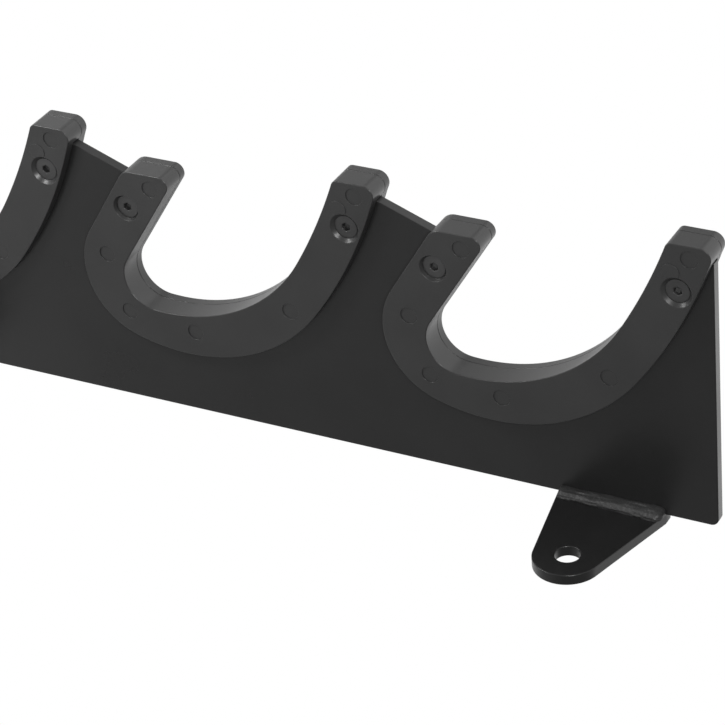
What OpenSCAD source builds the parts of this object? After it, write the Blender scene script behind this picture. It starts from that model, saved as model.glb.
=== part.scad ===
// Wall rack that holds long bars in leaning cradles: a steel plate stands edge-on to the wall on two
// tabs that are welded to its edge and bolted down, and each cradle is lined by two plastic shells
// clamped over the steel.
//
// The rack is drawn flat first: x runs along the plate, y stands out from the wall, and z is the
// side that the tabs stick out to. on_wall() then turns it the way it hangs, with x up.

/* [Rack] */
// Number of cradles along the plate
cradles = 3; // [2:1:5]
// Distance from each cradle to the next
pitch = 170; // [160:2:200]

/* [Plate] */
// Thickness of the steel of the plate and of both tabs
plate_t = 5.5; // [4:0.5:6]
// Radius of the plate's two corners next to the wall
corner_r = 4; // [2:1:8]
// Plate below the first cradle's zero line
lower_end = 93.8; // [90:0.1:110]
// Plate above the last cradle's zero line
upper_end = 81; // [81:0.1:100]

/* [Wall tabs] */
// Distance from each bolt hole to the end of the plate
tab_from_end = 57.4; // [48:0.1:70]
// Distance from the face of the plate to the bolt hole
tab_reach = 46.2; // [40:0.1:70]
// Radius of the rounded end of a tab
tab_r = 17; // [12:0.5:19]
// Half of the tab's root that faces the middle of the plate, from the bolt hole's line
tab_root_inner = 25.8; // [20:0.1:30]
// Half of the tab's root that faces the end of the plate, where the side slants more
tab_root_outer = 30.5; // [26:0.1:40]
// Diameter of the wall bolt's hole
tab_hole_d = 12.5; // [8:0.5:14]
// Leg of the weld up the face of the plate
weld_plate_leg = 4.5; // [3:0.5:6]
// Leg of the weld along the tab
weld_tab_leg = 7.5; // [3:0.5:9]

/* [Cradle] */
// Radius of the throat where a bar comes to rest
throat_r = 17; // [16:0.5:18]
// Radius of the belly that leads from the throat to the upper arm
belly_r = 92; // [90:0.5:94]
// Straight inner side of the lower arm
lower_arm = 52.8; // [50:0.1:55]
// Radius of the slight curve along the upper arm
upper_arm_r = 300; // [280:5:340]

/* [Liner shells] */
// Thickness of the front shell over the face of the plate
front_t = 5.5; // [4:0.5:7]
// Thickness of the back shell
back_t = 6.5; // [5.5:0.5:8]
// Thickness of the lining over the edge of the plate
lining_t = 3; // [2.5:0.1:3.2]
// Depth from the face of the front shell down to each screw head
sink_depth = 1.7; // [0.5:0.1:1.9]
// Mouth of the dish round the lower screw
lower_dish_d = 14.5; // [13:0.1:17]
// Mouth of the dish round the upper screw
upper_dish_d = 15.8; // [13:0.1:17]

/* [Hidden] */
$fn = 64;

steel = [0.055, 0.055, 0.06];
plastic = [0.07, 0.07, 0.075];
black_oxide = [0.12, 0.12, 0.125];

// Lengths along the plate, counted from the first cradle's zero line
plate_low = -lower_end;
plate_high = (cradles - 1) * pitch + upper_end;
plate_mid = (plate_low + plate_high) / 2;

// The lower arm's outer side runs at arm_lean to the wall's line, and the inner side half a degree off
arm_lean = 57.5;
rim_start = [-60.9, 133.7];
// Tip of the lower arm, from its outer corner to its inner corner
lower_outer_r = 8;
lower_top = 15.8;
lower_inner_r = 5;
lower_inner_turn = 123;
// Inside of the cradle
throat_turn = 118.5;
belly_turn = 63.5;
upper_arm_turn = 10.3;
// Tip of the upper arm, from its inner corner to where the lining ends on its outer side
upper_inner_r = 3.5;
upper_inner_turn = 69.3;
upper_top = 13.5;
upper_outer_r = 5.5;
upper_outer_turn = 112;
cap_drop = 2;
// Outer edge of the liner's flange, from the lower tip round to the upper tip
flange_side = 41;
flange_toe_r = 38.5;
flange_toe_turn = 104;
flange_belly_r = 95;
flange_belly_turn = 71.5;
flange_arm_r = 255;
flange_arm_turn = 17.6;

// The lining reaches past the plate's back face and drops into a step in the back shell
lining_past = 1.5;
fit_gap = 0.1;
notch = 0.8;
// Shoulder of the plate beside the first cradle's lower arm
shoulder_v = 86;

// M6 countersunk socket screws, 16 mm long, and M6 nuts. A screw is its place and its dish's mouth
screws = [[[-59.2, 116.2], lower_dish_d], [[64.8, 128.9], upper_dish_d]];
screw_d = 6;
screw_length = 16;
screw_hole_d = 6.4;
head_d = 12;
head_rim_h = 0.3;
head_cone_h = (head_d - screw_d) / 2;
head_gap = 0.2;
head_top = front_t - sink_depth;
hex_key = 4;
hex_key_depth = 2.5;
nut_af = 10;
nut_h = 5;
nut_bore_d = 6.1;
nut_pocket_af = 10.2;

// Round marks of the ejector pins, sunk in the front shell. One more stands proud of it, and the
// upper screw's dish cuts into that one
sunk_marks = [[-43.7, 129.7], [-74.2, 87], [-65, 55.6], [-27, 51], [29.8, 75.3], [71.4, 147.4]];
proud_mark = [62, 139.2];
mark_d = 8.8;
mark_depth = 0.5;
mark_height = 0.3;

// Cuts run past the faces that they open, and joined solids run into each other, by this much
over = 1;

// Arcs are cut into pieces of at most this many degrees and millimetres
arc_degrees = 8;
arc_length = 5;

// A path is a start point, a heading in degrees and a list of steps. A step [length, 0] runs
// straight, and [radius, turn] follows an arc; both are negative where the path turns right.
function arc_to(p, h, r, turn) = p + r * [sin(h + turn) - sin(h), cos(h) - cos(h + turn)];
function step_end(p, h, s) = s[1] == 0 ? p + s[0] * [cos(h), sin(h)] : arc_to(p, h, s[0], s[1]);
function arc_count(s) =
    ceil(max(abs(s[1]) / arc_degrees, abs(s[0] * s[1]) * PI / 180 / arc_length));
function step_points(p, h, s) = s[1] == 0 ? [step_end(p, h, s)] :
    [for (i = [1:arc_count(s)]) arc_to(p, h, s[0], s[1] * i / arc_count(s))];
function walk(p, h, steps, i = 0) = i == len(steps) ? [] : concat(
    step_points(p, h, steps[i]),
    walk(step_end(p, h, steps[i]), h + steps[i][1], steps, i + 1));
function reversed(list) = [for (i = [len(list) - 1:-1:0]) list[i]];

// The rim of a cradle, over both tips and through the throat, moved depth into the material
function rim(depth) = let (start = rim_start + depth * [sin(arm_lean), -cos(arm_lean)]) concat(
    [start],
    walk(start, arm_lean, [
        [depth - lower_outer_r, -arm_lean],
        [lower_top, 0],
        [depth - lower_inner_r, -lower_inner_turn],
        [lower_arm, 0],
        [throat_r + depth, throat_turn],
        [belly_r + depth, belly_turn],
        [upper_arm_r + depth, upper_arm_turn],
        [depth - upper_inner_r, -upper_inner_turn],
        [upper_top, 0],
        [depth - upper_outer_r, -upper_outer_turn],
        [cap_drop, 0]
    ]));

// The outer edge of the flange, from the lower tip round to the upper tip
function flange_edge() = walk(rim_start, arm_lean - 180, [
    [flange_side, 0],
    [flange_toe_r, flange_toe_turn],
    [flange_belly_r, flange_belly_turn],
    [flange_arm_r, flange_arm_turn]
]);

// The plate's edge: along the wall, up each end, and through each cradle in turn
function moved(list, along) = [for (p = list) p + [along, 0]];
function last(list) = list[len(list) - 1];
function cradle_cut(n) = let (
    inside = rim(lining_t + fit_gap),
    rim_end = last(rim(0))
) concat(
    moved(inside, n * pitch),
    [last(inside) + [n * pitch, -notch], rim_end + [n * pitch, -notch]]);
function plate_edge() = concat(
    walk([plate_high - corner_r, 0], 0, [[corner_r, 90]]),
    [[plate_high, last(rim(0))[1] - notch]],
    [for (n = [cradles - 1:-1:0], p = reversed(cradle_cut(n))) p],
    [rim_start + [0, -notch], [plate_low, shoulder_v]],
    walk([plate_low, corner_r], -90, [[corner_r, 90]]));

// Turns a flat drawing the way the rack hangs. Zero is on the wall, midway between the bolt holes
module on_wall() {
    translate([-tab_reach, -plate_t, -plate_mid])
        rotate([180, -90, 0])
            children();
}

module at_cradle(n) {
    translate([(n - 1) * pitch, 0, 0]) children();
}

module plate() {
    color(steel) on_wall() difference() {
        translate([0, 0, -plate_t]) linear_extrude(plate_t) polygon(plate_edge());
        for (n = [1:cradles], s = screws) at_cradle(n)
            translate([s[0][0], s[0][1], -plate_t - over])
                cylinder(d = screw_hole_d, h = plate_t + 2 * over);
    }
}

// A wall tab, drawn in the wall's plane. It lies between the wall and the plate's edge, and starts
// flush with the back of the plate
function side_heading(root) = atan2(tab_reach, root) + asin(tab_r / norm([root, tab_reach]));
function side_length(root) = sqrt(root * root + tab_reach * tab_reach - tab_r * tab_r);
function tab_edge() = let (
    h_in = side_heading(tab_root_inner),
    h_out = side_heading(tab_root_outer)
) concat([[-tab_root_inner, -plate_t], [-tab_root_inner, 0]], walk([-tab_root_inner, 0], h_in, [
    [side_length(tab_root_inner), 0],
    [-tab_r, -(h_in + h_out)],
    [side_length(tab_root_outer), 0]
]), [[tab_root_outer, -plate_t]]);

module tab() {
    // Stands the outline's y up as z, and the thickness grows from the plate's edge to the wall
    rotate([90, 0, 0]) difference() {
        linear_extrude(plate_t) polygon(tab_edge());
        translate([0, tab_reach, -over]) cylinder(d = tab_hole_d, h = plate_t + 2 * over);
    }
}

// A fillet weld in the corner between the tab and the face of the plate
weld_section = [[0, 0], [weld_plate_leg, 0], [weld_plate_leg * 0.82, weld_tab_leg * 0.5],
                [weld_plate_leg * 0.5, weld_tab_leg * 0.82], [0, weld_tab_leg]];
module weld() {
    translate([-tab_root_inner, 0, 0]) rotate([90, 0, 90])
        linear_extrude(tab_root_inner + tab_root_outer) polygon(weld_section);
}

module at_lower_tab() {
    translate([plate_low + tab_from_end, 0, 0]) mirror([1, 0, 0]) children();
}
module at_upper_tab() {
    translate([plate_high - tab_from_end, 0, 0]) children();
}
module lower_tab() { color(steel) on_wall() at_lower_tab() tab(); }
module upper_tab() { color(steel) on_wall() at_upper_tab() tab(); }
module lower_weld() { color(steel) on_wall() at_lower_tab() weld(); }
module upper_weld() { color(steel) on_wall() at_upper_tab() weld(); }

module flange_outline() {
    polygon(concat(rim(0), reversed(flange_edge())));
}
module lining_outline(thickness) {
    polygon(concat(rim(0), reversed(rim(thickness))));
}

// The room for a screw: a hole, the seat of the head's cone, and a dish that opens to the face
module screw_recess(mouth_d) {
    translate([0, 0, -over]) cylinder(d = screw_hole_d, h = front_t);
    head_cone();
    translate([0, 0, head_top - head_rim_h])
        cylinder(d = head_d + 2 * head_gap, h = head_rim_h);
    translate([0, 0, head_top]) cylinder(d1 = head_d + 2 * head_gap, d2 = mouth_d, h = sink_depth);
    translate([0, 0, front_t]) cylinder(d = mouth_d, h = over);
}

// The front shell has the flange that shows and the lining that wraps the plate's edge
module front_liner(n) {
    color(plastic) on_wall() at_cradle(n) difference() {
        union() {
            linear_extrude(front_t) flange_outline();
            translate([0, 0, -plate_t - lining_past])
                linear_extrude(plate_t + lining_past + over) lining_outline(lining_t);
            translate([proud_mark[0], proud_mark[1], front_t - over])
                cylinder(d = mark_d, h = over + mark_height);
        }
        for (m = sunk_marks)
            translate([m[0], m[1], front_t - mark_depth]) cylinder(d = mark_d, h = mark_depth + over);
        for (s = screws) translate([s[0][0], s[0][1], 0]) screw_recess(s[1]);
    }
}

// The back shell is a flat cover with a step for the lining and a pocket for each nut
module back_liner(n) {
    color(plastic) on_wall() at_cradle(n) translate([0, 0, -plate_t - back_t]) difference() {
        linear_extrude(back_t) flange_outline();
        translate([0, 0, back_t - lining_past - fit_gap])
            linear_extrude(back_t) lining_outline(lining_t + fit_gap);
        for (s = screws) translate([s[0][0], s[0][1], -over]) {
            cylinder(d = screw_hole_d, h = back_t + 2 * over);
            cylinder(d = nut_pocket_af / cos(30), h = over + nut_h, $fn = 6);
        }
    }
}

// The cone under a screw's head, down to its shank
module head_cone() {
    translate([0, 0, head_top - head_rim_h - head_cone_h])
        cylinder(d1 = screw_d, d2 = head_d, h = head_cone_h);
}

module screw(n, s) {
    color(black_oxide) on_wall() at_cradle(n) translate([s[0][0], s[0][1], 0]) difference() {
        union() {
            translate([0, 0, head_top - head_rim_h]) cylinder(d = head_d, h = head_rim_h);
            head_cone();
            translate([0, 0, head_top - screw_length]) cylinder(d = screw_d, h = screw_length);
        }
        translate([0, 0, head_top - hex_key_depth])
            cylinder(d = hex_key / cos(30), h = hex_key_depth + over, $fn = 6);
    }
}

module nut(n, s) {
    color(black_oxide) on_wall() at_cradle(n)
        translate([s[0][0], s[0][1], -plate_t - back_t]) difference() {
            cylinder(d = nut_af / cos(30), h = nut_h, $fn = 6);
            translate([0, 0, -over]) cylinder(d = nut_bore_d, h = nut_h + 2 * over);
        }
}

plate();
lower_tab();
upper_tab();
lower_weld();
upper_weld();
for (n = [1:cradles]) {
    front_liner(n);
    back_liner(n);
    screw(n, screws[0]);
    screw(n, screws[1]);
    nut(n, screws[0]);
    nut(n, screws[1]);
}
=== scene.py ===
"""A wall rack for long bars: a black steel plate edge-on to the wall, with plastic-lined cradles.

Every piece is drawn flat in millimetres, as its maker would draw it: x runs along the plate, y stands out
from the plate's edge by the wall, and a level counts through its thickness. A "stand" function then turns
the drawing into the frame, in metres, where the rack hangs with +Z up, the wall at +Y and the wall tabs
towards +X.
"""

import math

import bmesh
import bpy
import numpy as np
from mathutils import Matrix, Vector
from mathutils.geometry import tessellate_polygon


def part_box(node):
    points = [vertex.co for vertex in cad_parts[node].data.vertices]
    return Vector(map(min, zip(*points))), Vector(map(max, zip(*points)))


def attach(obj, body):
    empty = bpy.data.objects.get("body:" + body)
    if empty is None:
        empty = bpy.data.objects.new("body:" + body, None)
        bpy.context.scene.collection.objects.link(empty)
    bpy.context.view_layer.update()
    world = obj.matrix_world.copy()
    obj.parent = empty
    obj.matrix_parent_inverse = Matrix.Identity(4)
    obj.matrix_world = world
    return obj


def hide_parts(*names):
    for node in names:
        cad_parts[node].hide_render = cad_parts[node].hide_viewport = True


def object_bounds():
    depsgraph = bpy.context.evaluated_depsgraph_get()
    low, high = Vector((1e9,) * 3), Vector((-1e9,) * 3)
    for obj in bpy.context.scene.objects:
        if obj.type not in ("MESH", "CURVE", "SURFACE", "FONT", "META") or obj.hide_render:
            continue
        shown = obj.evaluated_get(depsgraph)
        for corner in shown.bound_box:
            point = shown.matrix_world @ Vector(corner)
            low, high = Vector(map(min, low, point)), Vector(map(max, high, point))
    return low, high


MM = 0.001

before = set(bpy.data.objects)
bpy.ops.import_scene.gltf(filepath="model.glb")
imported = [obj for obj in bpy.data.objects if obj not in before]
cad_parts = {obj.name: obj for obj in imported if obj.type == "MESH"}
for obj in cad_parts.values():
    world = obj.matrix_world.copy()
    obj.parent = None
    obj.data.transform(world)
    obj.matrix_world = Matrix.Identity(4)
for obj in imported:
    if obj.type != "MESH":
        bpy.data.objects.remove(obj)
cad_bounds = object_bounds()
cradles = sum(name.startswith("front_liner_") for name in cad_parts)


def box_mm(node):
    """A CAD node's lowest and highest corners, in millimetres."""
    return [np.array(corner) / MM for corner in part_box(node)]


plate_low, plate_high = box_mm("plate")
back_x, face_x, foot_y = plate_low[0], plate_high[0], plate_high[1]
tab_t = np.ptp([corner[1] for corner in box_mm("upper_tab")])

# Circles and hexagons have the same number of points, so that they join up in one turned piece
ROUND_POINTS = 72

# Radii of the softened edges
STEEL_ROUND = 0.45
FLANGE_ROUND = 0.45
SEAM_ROUND = 0.3
DISH_ROUND = 0.3
MARK_ROUND = 0.12
# A narrow flat band runs inside each softened edge, so that the flat face stays flat in the light
STEEL_BAND, FLANGE_BAND, DISH_BAND = 0.7, 0.35, 0.15

# Cradle: the rim's path round the inside, and the flange's outer edge, as (length or radius, turn)
ARM_LEAN = 57.5
RIM_START = (-60.9, 133.7)
LOWER_TIP = [(-8, -57.5), (15.8, 0), (-5, -123)]
INSIDE = [(52.8, 0), (17, 118.5), (92, 63.5), (300, 10.3)]
UPPER_TIP = [(-3.5, -69.3), (13.5, 0), (-5.5, -112), (2, 0)]
FLANGE_EDGE = [(41, 0), (38.5, 104), (95, 71.5), (255, 17.6)]
LINING = 3.0
FIT_GAP = 0.1

# Plate: how far its slopes lie inside the tips, how far out its lower end reaches, and its wall corners
NOTCH = 0.8
SHOULDER = 86.0
CORNER_R = 4.0

# M6 countersunk socket screws: centre of each in the cradle, and the diameter of its dish's mouth
SCREWS = {"lower": ((-59.2, 116.2), 14.5), "upper": ((64.8, 128.9), 15.8)}
SHANK_R, SHANK_BEVEL = 3.0, 0.5
HEAD_R, HEAD_RIM, HEAD_GAP = 6.0, 0.3, 0.2
HEAD_ROUND, HEAD_BAND = 0.12, 0.6
# The softened foot of the head's rim, as (inset, height)
RIM_FOOT = (0.02, 0.05)
HOLE_R, HOLE_POINTS = 3.2, 24
HEX_KEY, KEY_DEPTH = 4.0, 2.5
# The bevel at the socket's mouth is a circle just outside the hexagon's corners
SOCKET_MOUTH_R, SOCKET_BEVEL = HEX_KEY * 0.61, 0.2
SOCKET_LIP, SOCKET_BAND = 0.02, 0.3
# The drilled foot under the socket, as (share of the socket's width, depth below it)
SOCKET_FOOT = [(0.7, 0.05), (0.1, 0.6)]

# M6 nuts: a cone cuts their corners back, from a round end face of this share of the width over flats
NUT_AF, NUT_H = 10.0, 5.0
NUT_BORE_R, BORE_BEVEL = 3.05, 0.45
NUT_FACE_SHARE, NUT_CONE_SLOPE = 0.96, 1.5
NUT_CONE_STEPS = np.array([0, 0.2, 0.45, 0.75, 1.1])
POCKET_AF, POCKET_BEVEL = 10.2, 0.3

# Ejector pins' marks on the front shell: most are sunk, and the one beside the upper screw stands proud
SUNK_MARKS = [(-43.7, 129.7), (-74.2, 87), (-65, 55.6), (-27, 51), (29.8, 75.3), (71.4, 147.4)]
PROUD_MARK = (62, 139.2)
MARK_R, MARK_DEPTH, MARK_H = 4.4, 0.5, 0.3
# Two rings near a sunk floor's edge keep the floor flat in the light
MARK_FLOOR_INSETS = np.array([0.3, 0.1])

# Wall tab
TAB_R, TAB_HOLE_R = 17.0, 6.25
TAB_ROOT_IN, TAB_ROOT_OUT = 25.8, 30.5

# Weld bead: its start lies a little way in from the tab's corner, and it rounds off at both ends
WELD_START = 1.8
WELD_POINTS = (380, 28)
WELD_SINK = 0.05
START_ROUND, START_SIZE = 0.7, 0.8
STOP_ROUND, STOP_SIZE = 3.5, 0.45
GROWTH = (0.9, 1.06)
FULL_SIZE, BELLY = 0.9, 0.05
RIPPLE_PITCH, RIPPLE_LAG, RIPPLE_SIZE = 2.9, 0.4, 0.007
WAVERS = ((0.03, 27.0), (0.02, 12.0))
STREAK_CELLS, STREAK_SIZE = (9, 9), 0.022
SPECK_CELLS, SPECK_SIZE = (60, 12), 0.008

# Slow blotches in every finish, in spots per metre
BLOTCH_SCALE, BLOTCH_DETAIL = 28.0, 4.0
BLOTCH_RANGE = (0.3, 0.7)

# Camera
LENS = 149.93
CAMERA_NEAR = 0.05
CAMERA_TARGET = (-0.0462, -0.05583, 0.07125)
CAMERA_AZIMUTH, CAMERA_ELEVATION, CAMERA_ROLL = 53.936, 25.413, 102.096
CAMERA_DISTANCE = 1.48019

# The studio is bright behind the object and dim on the side that its face looks to
LIT_POINT = (-0.045, -0.1, 0.08)
BRIGHT_SIDE = (-1.0, -0.3, 0.0)
ROOM_LIGHT, ROOM_FADE = (0.25, 1.6), (-0.2, 0.8)
# Painted shade on the floor: its colour for the light it throws greys from the bright side towards +X
FLOOR_PAINTED_SHADE, FLOOR_FADE = (0.9, 0.46), (-0.15, 0.35)
FLOOR_HALF, FLOOR_DROP = 12.0, 0.04
# Name, direction from the lit point, distance, side and power of each softbox
SOFTBOXES = (
    ("front softbox", (0.68, -0.51, 0.52), 1.6, 0.4, 22),
    ("low softbox", (0.4, -0.6, -0.6), 0.5, 0.12, 1.4),
)


# ------------------------------------------------------------ flat drawing


def walk(start, heading, steps, degrees=3.0, length=2.5):
    """Points along a path of (length, 0) straights and (radius, turn) arcs.

    An arc's points lie at equal steps of its turn, each no more than the given degrees and length. A
    negative radius and turn make a right-hand bend.
    """
    points = [np.array([start], float)]
    heading = math.radians(heading)
    for size, turn in steps:
        last = points[-1][-1]
        if turn == 0:
            points.append([last + size * np.array([math.cos(heading), math.sin(heading)])])
            continue
        arc = abs(math.radians(turn) * size)
        count = math.ceil(max(abs(turn) / degrees, arc / length))
        angle = heading + math.radians(turn) * np.arange(1, count + 1) / count
        points.append(last + size * np.stack(
            [np.sin(angle) - math.sin(heading), math.cos(heading) - np.cos(angle)], -1))
        heading += math.radians(turn)
    return np.concatenate(points)


def turns(count=ROUND_POINTS):
    """Angles of one full turn in equal steps."""
    return np.arange(count) * 2 * math.pi / count


def circle(centre, radius, count=ROUND_POINTS):
    """Points round a centre, at one radius or at a radius for each angle."""
    angle = turns(count)
    return np.array(centre) + (radius * np.stack([np.cos(angle), np.sin(angle)])).T


def hexagon(flats):
    """Distance from the middle of a hexagon to its sides: half its flats over the cosine of the angle
    from the nearest side's middle."""
    sector = math.pi / 3
    return flats / 2 / np.cos((turns() + sector / 2) % sector - sector / 2)


def quarter(radius, count=5):
    """Insets and levels, as two rows, of a quarter round from the side (0, -radius) to the face
    (radius, 0): the radius times one minus the cosine, and the sine minus one, of its angle."""
    angle = np.linspace(0, math.pi / 2, count)
    return radius * np.stack([1 - np.cos(angle), np.sin(angle) - 1])


def inward(outline):
    """At each corner of a closed outline, the step that moves both of its sides in by one millimetre:
    the sum of the two sides' normals over one plus their dot product."""
    x, y = outline.T
    if np.sum(x * np.roll(y, -1) - np.roll(x, -1) * y) < 0:
        return inward(outline[::-1])[::-1]
    side = np.roll(outline, -1, 0) - outline
    side /= np.linalg.norm(side, axis=1, keepdims=True)
    normal = np.stack([-side[:, 1], side[:, 0]], -1)
    before = np.roll(normal, 1, 0)
    return (before + normal) / (1 + np.sum(before * normal, 1, keepdims=True))


def rim(depth=0.0):
    """The cradle's rim over both tips and through the throat, moved depth into the material."""
    lean = math.radians(ARM_LEAN)
    start = np.array(RIM_START) + depth * np.array([math.sin(lean), -math.cos(lean)])
    steps = [(size + depth if turn else size, turn) for size, turn in LOWER_TIP + INSIDE + UPPER_TIP]
    return walk(start, ARM_LEAN, steps)


def flange_outline():
    """The shell's closed outline: along the rim, then back along the flange's outer edge."""
    edge = walk(RIM_START, ARM_LEAN - 180, FLANGE_EDGE)
    return np.concatenate([rim(), edge[:0:-1]])


def zero_line(n):
    """Height of cradle n's zero line, from the lowest point of its shell."""
    return box_mm(f"front_liner_{n}")[0][2] - flange_outline()[:, 0].min()


# ------------------------------------------------------------------ meshes


def at_level(outline, level):
    """A flat outline as points of (x, y, level)."""
    return np.column_stack([outline, np.broadcast_to(level, len(outline))])


def grid_faces(rows, cols, wrap_cols=False):
    """Quads of a grid of points numbered row by row; wrap_cols joins each row's end to its start."""
    r = np.arange(rows - 1)[:, None]
    c = np.arange(cols if wrap_cols else cols - 1)[None, :]
    c2 = (c + 1) % cols
    quads = np.stack([r * cols + c, r * cols + c2, (r + 1) * cols + c2, (r + 1) * cols + c], -1)
    return quads.reshape(-1, 4)


class Shape:
    """Points and faces of one piece, in a flat drawing of (x, y, level)."""

    def __init__(self):
        self.points, self.faces, self.count = [], [], 0

    def rings(self, rings):
        """A skin over closed rings of points, one after the other; returns the first and last ring,
        each as the numbers of its points and the points."""
        grid = np.stack(rings)
        rows, cols = grid.shape[:2]
        first = self.count + np.arange(cols)
        self.points.append(grid.reshape(-1, 3))
        self.faces += (self.count + grid_faces(rows, cols, wrap_cols=True)).tolist()
        self.count += rows * cols
        return (first, grid[0]), (first + (rows - 1) * cols, grid[-1])

    def cap(self, *rings):
        """A flat face between an outer ring and the rings of its holes."""
        index = np.concatenate([numbers for numbers, _ in rings])
        loops = [[Vector(point) for point in points] for _, points in rings]
        self.faces += index[np.array(tessellate_polygon(loops))].tolist()


def piece(name, shape, stand, node, material, sharp=50):
    """Turns a drawn shape into a closed mesh with its faces outwards, which stands for a CAD node."""
    mesh = bpy.data.meshes.new(name)
    points = stand(np.concatenate(shape.points)) * MM
    mesh.from_pydata(points.tolist(), [], shape.faces)
    bm = bmesh.new()
    bm.from_mesh(mesh)
    bmesh.ops.remove_doubles(bm, verts=bm.verts, dist=1e-6)
    bmesh.ops.recalc_face_normals(bm, faces=bm.faces)
    bm.to_mesh(mesh)
    bm.free()
    mesh.polygons.foreach_set("use_smooth", [True] * len(mesh.polygons))
    mesh.set_sharp_from_angle(angle=math.radians(sharp))
    mesh.materials.append(material)
    obj = link(bpy.data.objects.new(name, mesh))
    even = obj.modifiers.new("flat faces stay flat", "WEIGHTED_NORMAL")
    even.keep_sharp = True
    even.weight = 90
    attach(obj, "root")
    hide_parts(node)


def link(obj):
    """Puts an object into the scene and returns it."""
    bpy.context.scene.collection.objects.link(obj)
    return obj


def upright(points):
    """Stands a drawing of the plate's plane up: level along X, y out from the wall, x up."""
    return np.column_stack([points[:, 2], foot_y - points[:, 1], points[:, 0]])


def stand_cradle(n):
    """Stands a drawing of a cradle up, with its zero line at cradle n's."""
    offset = (zero_line(n), 0, 0)
    return lambda points: upright(points + offset)


def stand_fastener(node, level):
    """Stands a turned shape up at a CAD fastener's axis, with its zero level at the given X."""
    low, high = box_mm(node)
    middle = (low + high) / 2
    offset = (middle[2], foot_y - middle[1], level)
    return lambda points: upright(points + offset)


# --------------------------------------------------------------- materials


def node_in(tree, kind, **settings):
    """A new node of a kind in a tree, with its settings."""
    node = tree.nodes.new(kind)
    for key, value in settings.items():
        setattr(node, key, value)
    return node


def set_range(node, start, end, low, high):
    """A Map Range node's four limits: from start and end, to low and high."""
    for socket, value in (("From Min", start), ("From Max", end), ("To Min", low), ("To Max", high)):
        node.inputs[socket].default_value = value


def grain_group():
    """Surface grain: two sizes of noise on Object coordinates as a height, and slow blotches."""
    tree = bpy.data.node_groups.new("surface grain", "ShaderNodeTree")
    for label, default in (("Coarse Size", 1.0), ("Fine Size", 0.3), ("Fine Share", 0.4)):
        socket = tree.interface.new_socket(label, in_out="INPUT", socket_type="NodeSocketFloat")
        socket.default_value = default
    for label in ("Height", "Blotches"):
        tree.interface.new_socket(label, in_out="OUTPUT", socket_type="NodeSocketFloat")
    entry, out = node_in(tree, "NodeGroupInput"), node_in(tree, "NodeGroupOutput")
    coords = node_in(tree, "ShaderNodeTexCoord")
    noises = []
    for label, detail in (("Coarse Size", 2.0), ("Fine Size", 3.0)):
        per_metre = node_in(tree, "ShaderNodeMath", operation="DIVIDE")
        per_metre.inputs[0].default_value = 1 / MM
        tree.links.new(entry.outputs[label], per_metre.inputs[1])
        noise = node_in(tree, "ShaderNodeTexNoise")
        noise.inputs["Detail"].default_value = detail
        tree.links.new(coords.outputs["Object"], noise.inputs["Vector"])
        tree.links.new(per_metre.outputs[0], noise.inputs["Scale"])
        noises.append(noise)
    mix = node_in(tree, "ShaderNodeMix", data_type="FLOAT")
    tree.links.new(entry.outputs["Fine Share"], mix.inputs[0])
    tree.links.new(noises[0].outputs[0], mix.inputs[2])
    tree.links.new(noises[1].outputs[0], mix.inputs[3])
    tree.links.new(mix.outputs[0], out.inputs["Height"])
    blotch = node_in(tree, "ShaderNodeTexNoise")
    blotch.inputs["Scale"].default_value = BLOTCH_SCALE
    blotch.inputs["Detail"].default_value = BLOTCH_DETAIL
    tree.links.new(coords.outputs["Object"], blotch.inputs["Vector"])
    tree.links.new(blotch.outputs[0], out.inputs["Blotches"])
    return tree


grain = grain_group()


def finish(name, grey, drift, roughness, rough_drift, sizes, bump, metallic=0.0, specular=0.5):
    """A Principled material, neutral in colour, with a grainy normal.

    The blotches take its grey up and down by the share drift, and its roughness by rough_drift. sizes
    are the grain's coarse and fine size in millimetres and the fine one's share, and bump is its height.
    """
    material = bpy.data.materials.new(name)
    material.use_nodes = True
    tree = material.node_tree
    shader = tree.nodes["Principled BSDF"]
    shader.inputs["Metallic"].default_value = metallic
    shader.inputs["Specular IOR Level"].default_value = specular
    surface = node_in(tree, "ShaderNodeGroup", node_tree=grain)
    for socket, value in zip(("Coarse Size", "Fine Size", "Fine Share"), sizes):
        surface.inputs[socket].default_value = value
    ramp = node_in(tree, "ShaderNodeValToRGB")
    for element, position, factor in zip(ramp.color_ramp.elements, BLOTCH_RANGE, (1 - drift, 1 + drift)):
        element.position = position
        element.color = (grey * factor, grey * factor, grey * factor, 1)
    tree.links.new(surface.outputs["Blotches"], ramp.inputs[0])
    tree.links.new(ramp.outputs[0], shader.inputs["Base Color"])
    rough = node_in(tree, "ShaderNodeMapRange")
    set_range(rough, *BLOTCH_RANGE, roughness - rough_drift, roughness + rough_drift)
    tree.links.new(surface.outputs["Blotches"], rough.inputs["Value"])
    tree.links.new(rough.outputs[0], shader.inputs["Roughness"])
    bumps = node_in(tree, "ShaderNodeBump")
    bumps.inputs["Distance"].default_value = bump * MM
    tree.links.new(surface.outputs["Height"], bumps.inputs["Height"])
    tree.links.new(bumps.outputs[0], shader.inputs["Normal"])
    return material


powder_coat = finish(
    "black powder coat", grey=0.009, drift=0.1, roughness=0.31, rough_drift=0.04,
    sizes=(1.6, 0.5, 0.35), bump=0.03, specular=0.42)
weld_coat = finish(
    "powder coat over weld", grey=0.017, drift=0.2, roughness=0.5, rough_drift=0.06,
    sizes=(1.3, 0.45, 0.5), bump=0.1, specular=0.4)
liner_plastic = finish(
    "matte moulded plastic", grey=0.023, drift=0.1, roughness=0.34, rough_drift=0.04,
    sizes=(0.8, 0.25, 0.6), bump=0.02, specular=0.38)
black_oxide = finish(
    "black oxide steel", grey=0.085, drift=0.2, roughness=0.36, rough_drift=0.06,
    sizes=(0.5, 0.15, 0.5), bump=0.008, metallic=0.9)


# ------------------------------------------------------------- steel parts


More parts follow.
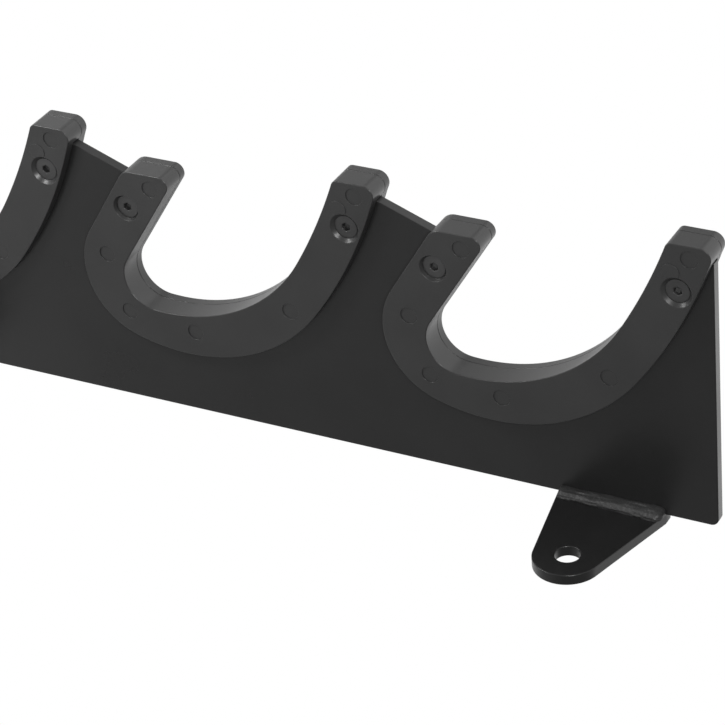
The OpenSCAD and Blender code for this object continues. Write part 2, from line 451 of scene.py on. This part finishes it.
def slab(outline, holes, low, high):
    """A flat bar of any outline: its edge profile (a quarter round, a side, a quarter round) is carried
    round the outline and round each hole, and two flat faces close it."""
    shape = Shape()
    inset, drop = quarter(STEEL_ROUND)
    flat = STEEL_ROUND + STEEL_BAND
    insets = [flat, *inset[::-1], *inset, flat]
    levels = [low, *(low - drop[::-1]), *(high + drop), high]
    ends = []
    for ring, way in [(outline, 1)] + [(hole, -1) for hole in holes]:
        step = way * inward(ring)
        ends.append(shape.rings([at_level(ring + i * step, level) for i, level in zip(insets, levels)]))
    shape.cap(*[first for first, _ in ends])
    shape.cap(*[last for _, last in ends])
    return shape


def plate_outline():
    """The plate's edge: along the wall, up each end, and through each cradle in turn."""
    low, high = plate_low[2], plate_high[2]
    inside = rim(LINING + FIT_GAP)
    tip_end = rim()[-1]
    cut = np.concatenate([inside, [inside[-1] - (0, NOTCH), tip_end - (0, NOTCH)]])[::-1]
    parts = [walk((high - CORNER_R, 0), 0, [(CORNER_R, 90)]), [(high, tip_end[1] - NOTCH)]]
    parts += [cut + (zero_line(n), 0) for n in range(cradles, 0, -1)]
    first = np.array(RIM_START) + (zero_line(1), -NOTCH)
    parts += [[first, (low, SHOULDER)], walk((low, CORNER_R), -90, [(CORNER_R, 90)])]
    return np.concatenate(parts)


def steel_plate():
    """The plate, with a plain round hole for each screw."""
    holes = [circle(np.array(centre) + (zero_line(n), 0), HOLE_R, HOLE_POINTS)
             for n in range(1, cradles + 1) for centre, _ in SCREWS.values()]
    shape = slab(plate_outline(), holes, back_x, face_x)
    piece("coated_plate", shape, upright, "plate", powder_coat)


def steel_tab(node):
    """A wall tab behind the plate's edge: two straight sides lean in from its root, which is flush with
    the plate's back, to a round end with a hole, and a straight strip runs on under the edge.

    A side that starts at a given foot and touches the end's circle leans at the angle to the circle's
    centre plus the angle whose sine is the radius over the distance to that centre.
    """
    low, high = box_mm(node)
    reach = high[0] - face_x - TAB_R
    towards_end = 1 if node.startswith("upper") else -1
    heading = {foot: math.degrees(math.atan2(reach, foot) + math.asin(TAB_R / math.hypot(foot, reach)))
               for foot in (TAB_ROOT_IN, TAB_ROOT_OUT)}
    length = {foot: math.sqrt(foot**2 + reach**2 - TAB_R**2) for foot in heading}
    outline = np.concatenate([
        [(TAB_ROOT_OUT, back_x - face_x), (-TAB_ROOT_IN, back_x - face_x)],
        walk((-TAB_ROOT_IN, 0), heading[TAB_ROOT_IN], [
            (length[TAB_ROOT_IN], 0), (-TAB_R, -sum(heading.values())), (length[TAB_ROOT_OUT], 0)])])
    hole_z = low[2] + TAB_ROOT_IN if towards_end > 0 else high[2] - TAB_ROOT_IN

    def stand(points):
        return np.column_stack(
            [face_x + points[:, 1], high[1] - points[:, 2], hole_z + towards_end * points[:, 0]])

    shape = slab(outline, [circle((0, reach), TAB_HOLE_R)], 0, tab_t)
    piece("coated_" + node, shape, stand, node, powder_coat)


# ------------------------------------------------------------------ liners


def liner_shell(face, toward, seat, seam):
    """One shell of a cradle's liner, without its screws' holes; returns it with its first and last ring.

    A section is carried round the closed outline of the flange. It starts on the shell's face, turns
    over a softened edge, and runs down the side to the bottom. On the rim's part of the outline the
    bottom is at the seam, on the flange's edge it is on the plate's face (seat). It then turns in
    under the lining and ends on the seat. toward is -1 where the levels fall from the face, and +1
    where they rise.
    """
    outline = flange_outline()
    rim_count = len(rim())
    # The stations where the bottom changes level come twice, so the lining gets its two end faces
    stations = np.concatenate(
        [np.arange(rim_count), [rim_count - 1], np.arange(rim_count, len(outline)), [0]])
    bottom = np.where(np.arange(len(stations)) < rim_count, seam, seat)[:, None]
    step = inward(outline)[stations][:, None]
    outline = outline[stations][:, None]
    edge_inset, edge_drop = quarter(FLANGE_ROUND, 6)
    foot_inset, foot_drop = quarter(SEAM_ROUND, 4)
    inset = np.array([FLANGE_ROUND + FLANGE_BAND, *edge_inset[::-1], *foot_inset, LINING, LINING])
    edge = face - toward * np.array([0, *edge_drop[::-1]])
    level = np.concatenate([
        np.broadcast_to(edge, (len(stations), len(edge))),
        bottom + toward * foot_drop,
        bottom,
        np.full_like(bottom, seat)], axis=1)
    shape = Shape()
    rings = np.concatenate([outline + inset[None, :, None] * step, level[:, :, None]], -1)
    return shape, *shape.rings(rings.transpose(1, 0, 2))


def sleeve(shape, centre, radii, levels):
    """Adds a skin turned round a centre through pairs of radius and level; returns its end rings."""
    return shape.rings([at_level(circle(centre, r), level) for r, level in zip(radii, levels)])


def screw_dish(shape, centre, mouth, head_top, face):
    """Adds a screw's hole, countersink and wide dish to the front shell, from the plate to the face."""
    rim_foot = head_top - HEAD_RIM
    soft_inset, soft_drop = quarter(DISH_ROUND, 4)
    radii = [HOLE_R, HOLE_R, HEAD_R, HEAD_R + HEAD_GAP, HEAD_R + HEAD_GAP,
             *(mouth / 2 - DISH_ROUND + soft_inset), mouth / 2 + DISH_BAND]
    levels = [face_x, rim_foot - HEAD_R + HOLE_R, rim_foot, rim_foot, head_top, *(face + soft_drop), face]
    return sleeve(shape, centre, radii, levels)


def sunk_mark(shape, centre, face):
    """Adds a sunk disc with a softened mouth to the front shell; returns its ring on the face."""
    soft_inset, soft_drop = quarter(MARK_ROUND, 4)
    radii = [*(MARK_R - MARK_FLOOR_INSETS), *(MARK_R + soft_inset), MARK_R + MARK_ROUND + DISH_BAND]
    levels = [face - MARK_DEPTH] * len(MARK_FLOOR_INSETS) + [*(face + soft_drop), face]
    bottom, mouth = sleeve(shape, centre, radii, levels)
    shape.cap(bottom)
    return mouth


def proud_mark(shape, face):
    """Adds the proud disc, cut short where a screw's dish reaches into it."""
    outline = circle(PROUD_MARK, MARK_R)
    for place, mouth in SCREWS.values():
        away = outline - place
        distance = np.linalg.norm(away, axis=1, keepdims=True)
        outline = np.where(distance < mouth / 2, place + away / distance * mouth / 2, outline)
    step = inward(outline)
    rings = [at_level(outline, face - MARK_H)]
    rings += [at_level(outline + i * step, face + MARK_H + d) for i, d in quarter(MARK_ROUND, 4).T]
    for end in shape.rings(rings):
        shape.cap(end)


def front_shell(n):
    """The shell that shows: its screws sit in countersinks that open to the face in wide dishes."""
    node = f"front_liner_{n}"
    low, high = box_mm(node)
    face, seam = high[0] - MARK_H, low[0]
    shape, top, under = liner_shell(face, -1, face_x, seam)
    top_rings, under_rings = [top], [under]
    for side, (centre, mouth) in SCREWS.items():
        head_top = box_mm(f"{side}_screw_{n}")[1][0]
        first, last = screw_dish(shape, centre, mouth, head_top, face)
        under_rings.append(first)
        top_rings.append(last)
    top_rings += [sunk_mark(shape, centre, face) for centre in SUNK_MARKS]
    shape.cap(*top_rings)
    shape.cap(*under_rings)
    proud_mark(shape, face)
    piece(f"front_shell_{n}", shape, stand_cradle(n), node, liner_plastic)


def back_shell(n):
    """The cover behind the plate: a step takes the lining's edge, and hex pockets hold the nuts."""
    node = f"back_liner_{n}"
    back = box_mm(node)[0][0]
    seam = box_mm(f"front_liner_{n}")[0][0] - FIT_GAP
    shape, outside, inside = liner_shell(back, 1, back_x, seam)
    outside_rings, inside_rings = [outside], [inside]
    pocket = hexagon(POCKET_AF)
    radii = [pocket + 2 * POCKET_BEVEL, pocket + POCKET_BEVEL, pocket, pocket, HOLE_R, HOLE_R]
    levels = [back, back, back + POCKET_BEVEL, back + NUT_H, back + NUT_H, back_x]
    for centre, _ in SCREWS.values():
        first, last = sleeve(shape, centre, radii, levels)
        outside_rings.append(first)
        inside_rings.append(last)
    shape.cap(*outside_rings)
    shape.cap(*inside_rings)
    piece(f"back_shell_{n}", shape, stand_cradle(n), node, liner_plastic)


# --------------------------------------------------------------- fasteners


def countersunk_screw(side, n):
    """Shank, cone, short rim and a flat top whose hex socket has a bevelled mouth and a drilled foot.

    It is one profile turned round the screw's axis, from the shank's end to the socket's foot, with a
    hexagon in place of the circle in the socket.
    """
    node = f"{side}_screw_{n}"
    low, high = box_mm(node)
    shank = low[0] - high[0]
    socket = hexagon(HEX_KEY)
    profile = [
        (SHANK_R - SHANK_BEVEL, shank), (SHANK_R, shank + SHANK_BEVEL),
        (SHANK_R, -HEAD_RIM - HEAD_R + SHANK_R),
        (HEAD_R - RIM_FOOT[0], -HEAD_RIM), (HEAD_R, -HEAD_RIM + RIM_FOOT[1]),
        (HEAD_R, -HEAD_ROUND), (HEAD_R - HEAD_ROUND / 3, -HEAD_ROUND / 3), (HEAD_R - HEAD_ROUND, 0),
        (HEAD_R - HEAD_BAND, 0), (SOCKET_MOUTH_R + SOCKET_BAND, 0),
        (SOCKET_MOUTH_R, -SOCKET_LIP), (socket, -SOCKET_BEVEL), (socket, -KEY_DEPTH),
        *[(socket * share, -KEY_DEPTH - depth) for share, depth in SOCKET_FOOT]]
    shape = Shape()
    for end in sleeve(shape, (0, 0), *zip(*profile)):
        shape.cap(end)
    piece(f"{side}_countersunk_screw_{n}", shape, stand_fastener(node, high[0]), node, black_oxide,
          sharp=35)


def hex_nut(side, n):
    """Hex nut whose corners are cut back by a cone at each end, round a plain bore.

    Its outside is the smaller of the hexagon's radius and the cone's. The closed section is carried
    once round the axis: up the outside and down the bore.
    """
    node = f"{side}_nut_{n}"
    cones = [np.minimum(hexagon(NUT_AF), NUT_AF / 2 * NUT_FACE_SHARE + NUT_CONE_SLOPE * step)
             for step in NUT_CONE_STEPS]
    radii = [*cones, *cones[::-1], NUT_BORE_R + BORE_BEVEL, NUT_BORE_R, NUT_BORE_R, NUT_BORE_R + BORE_BEVEL,
             cones[0]]
    levels = [*NUT_CONE_STEPS, *(NUT_H - NUT_CONE_STEPS[::-1]), NUT_H, NUT_H - BORE_BEVEL, BORE_BEVEL, 0, 0]
    shape = Shape()
    sleeve(shape, (0, 0), radii, levels)
    piece(f"{side}_hex_nut_{n}", shape, stand_fastener(node, box_mm(node)[0][0]), node, black_oxide,
          sharp=30)


# ------------------------------------------------------------------- welds


def weld_bead(which, seed):
    """A straight fillet weld in the corner between a tab's outer face and the plate's face.

    Across it the bead is a quarter of an ellipse from its toe on the tab to its toe on the plate, a
    little fuller in the middle. Its size grows from start to stop and wavers slowly, with a faint
    ripple, a sine of the distance along the bead that lags at the toes, and with long streaks: seeded
    noise that changes slowly along the bead and quickly across it. It stops in a short round next to
    the plate's end, and it starts a little way in from the tab's other corner in a much shorter one.
    """
    random = np.random.default_rng(seed)
    node = f"{which}_weld"
    low, high = box_mm(node)
    length, tab_leg, plate_leg = high[2] - low[2], high[0] - low[0], high[1] - low[1]
    along = np.linspace(0, 1, WELD_POINTS[0])[:, None]
    across = np.linspace(0, 1, WELD_POINTS[1])[None, :]
    belly = np.sin(math.pi * across)
    ripple = np.sin(2 * math.pi * (along * length / RIPPLE_PITCH + RIPPLE_LAG * belly))
    waver = sum(size * np.sin(2 * math.pi * (along * length / period + random.random()))
                for size, period in WAVERS)
    streaks = smooth_noise(random, along, across, *STREAK_CELLS)
    specks = smooth_noise(random, along, across, *SPECK_CELLS)
    size = (FULL_SIZE + BELLY * belly + RIPPLE_SIZE * ripple + waver + STREAK_SIZE * streaks
            + SPECK_SIZE * specks)
    size = size * round_off((1 - along) * length / STOP_ROUND, STOP_SIZE)
    size = size * round_off(along * length / START_ROUND, START_SIZE)
    size = size * (GROWTH[0] + (GROWTH[1] - GROWTH[0]) * along)
    tuck = across * math.pi / 2
    out = tab_leg * size * np.cos(tuck) - WELD_SINK
    rise = plate_leg * size * np.sin(tuck) - WELD_SINK
    path = WELD_START + along * (length - WELD_START)
    path = low[2] + path if which == "upper" else high[2] - path
    root = np.stack([path, np.full_like(path, -WELD_SINK), np.full_like(path, face_x - WELD_SINK)], -1)
    skin = np.stack([np.broadcast_to(path, out.shape), rise, face_x + out], -1)
    shape = Shape()
    for end in shape.rings(np.concatenate([root, skin], axis=1)):
        shape.faces.append(end[0].tolist())
    piece(f"{which}_weld_bead", shape, upright, node, weld_coat, sharp=70)


def round_off(distance, least):
    """Rises from the least size to 1 in a quarter of an ellipse, as the distance goes from 0 to 1."""
    t = np.clip(distance, 0, 1)
    return least + (1 - least) * np.sqrt(t * (2 - t))


def smooth_noise(random, u, v, cells_u, cells_v):
    """Seeded random heights on a grid of cells, eased between its points over u and v from 0 to 1."""
    heights = random.normal(0, 1, (cells_u + 1, cells_v + 1))
    i, j = np.minimum(u * cells_u, cells_u - 1e-6), np.minimum(v * cells_v, cells_v - 1e-6)
    i0, j0 = i.astype(int), j.astype(int)
    fu, fv = (i - i0), (j - j0)
    fu, fv = fu * fu * (3 - 2 * fu), fv * fv * (3 - 2 * fv)
    near = heights[i0, j0] * (1 - fv) + heights[i0, j0 + 1] * fv
    far = heights[i0 + 1, j0] * (1 - fv) + heights[i0 + 1, j0 + 1] * fv
    return near * (1 - fu) + far * fu


# ------------------------------------------------------------------ studio


def aim(obj, target, azimuth, elevation, distance, roll=0.0):
    """Puts obj at distance from target, looking at it. Azimuth 0 looks along +Y and 90 along -X; roll
    turns it about its own line of sight, and all angles are in degrees."""
    a, e = math.radians(azimuth), math.radians(elevation)
    look = Vector((-math.sin(a) * math.cos(e), math.cos(a) * math.cos(e), -math.sin(e)))
    obj.location = Vector(target) - look * distance
    turn = look.to_track_quat("-Z", "Y").to_matrix() @ Matrix.Rotation(math.radians(roll), 3, "Z")
    obj.rotation_euler = turn.to_euler()


def directed_ramp(tree, vector, direction, start, end, low, high):
    """A number that rises smoothly from low to high as a vector's part along direction passes from
    start to end."""
    along = node_in(tree, "ShaderNodeVectorMath", operation="DOT_PRODUCT")
    along.inputs[1].default_value = Vector(direction).normalized()
    tree.links.new(vector, along.inputs[0])
    ramp = node_in(tree, "ShaderNodeMapRange", interpolation_type="SMOOTHSTEP")
    set_range(ramp, start, end, low, high)
    tree.links.new(along.outputs["Value"], ramp.inputs["Value"])
    return ramp.outputs[0]


def pale_floor():
    """White as it is seen; the light it throws on the object fades towards the object's face side, through
    a painted shade: its colour greys along +X.
    """
    material = bpy.data.materials.new("pale floor")
    material.use_nodes = True
    tree = material.node_tree
    tree.nodes.remove(tree.nodes["Principled BSDF"])
    coords = node_in(tree, "ShaderNodeTexCoord")
    # Painted shade: the floor's grey falls along +X, so it throws and reflects less light on the object's
    # face side
    tone = directed_ramp(tree, coords.outputs["Object"], (1, 0, 0), *FLOOR_FADE, *FLOOR_PAINTED_SHADE)
    thrown = node_in(tree, "ShaderNodeBsdfDiffuse")
    tree.links.new(tone, thrown.inputs["Color"])
    seen = node_in(tree, "ShaderNodeEmission")
    seen.inputs["Color"].default_value = (1, 1, 1, 1)
    mix, path = node_in(tree, "ShaderNodeMixShader"), node_in(tree, "ShaderNodeLightPath")
    tree.links.new(path.outputs["Is Camera Ray"], mix.inputs[0])
    tree.links.new(thrown.outputs[0], mix.inputs[1])
    tree.links.new(seen.outputs[0], mix.inputs[2])
    tree.links.new(mix.outputs[0], tree.nodes["Material Output"].inputs["Surface"])
    return material


def studio():
    """Camera, floor, two softboxes and the room's light."""
    scene = bpy.context.scene
    camera = link(bpy.data.objects.new("camera", bpy.data.cameras.new("camera")))
    camera.data.lens = LENS
    camera.data.clip_start = CAMERA_NEAR
    aim(camera, CAMERA_TARGET, CAMERA_AZIMUTH, CAMERA_ELEVATION, CAMERA_DISTANCE, CAMERA_ROLL)
    scene.camera = camera

    floor_mesh = bpy.data.meshes.new("floor")
    half, level = FLOOR_HALF, cad_bounds[0].z - FLOOR_DROP
    floor_mesh.from_pydata(
        [(-half, -half, level), (half, -half, level), (half, half, level), (-half, half, level)],
        [], [(0, 1, 2, 3)])
    floor = link(bpy.data.objects.new("floor", floor_mesh))
    floor_mesh.materials.append(pale_floor())

    for name, direction, distance, size, power in SOFTBOXES:
        lamp = bpy.data.lights.new(name, "AREA")
        lamp.shape = "SQUARE"
        lamp.size = size
        lamp.energy = power
        softbox = link(bpy.data.objects.new(name, lamp))
        away = Vector(direction).normalized()
        softbox.location = Vector(LIT_POINT) + away * distance
        softbox.rotation_euler = (-away).to_track_quat("-Z", "Y").to_euler()
        softbox.visible_camera = False

    world = bpy.data.worlds.new("studio")
    scene.world = world
    world.use_nodes = True
    tree = world.node_tree
    coords = node_in(tree, "ShaderNodeTexCoord")
    strength = directed_ramp(tree, coords.outputs["Generated"], BRIGHT_SIDE, *ROOM_FADE, *ROOM_LIGHT)
    tree.nodes["Background"].inputs["Color"].default_value = (1, 1, 1, 1)
    tree.links.new(strength, tree.nodes["Background"].inputs["Strength"])
    scene.view_settings.view_transform = "Standard"


studio()
steel_plate()
for tab_node in ("lower_tab", "upper_tab"):
    steel_tab(tab_node)
for cradle in range(1, cradles + 1):
    front_shell(cradle)
    back_shell(cradle)
    for screw_side in SCREWS:
        countersunk_screw(screw_side, cradle)
        hex_nut(screw_side, cradle)
weld_bead("lower", 3)
weld_bead("upper", 8)
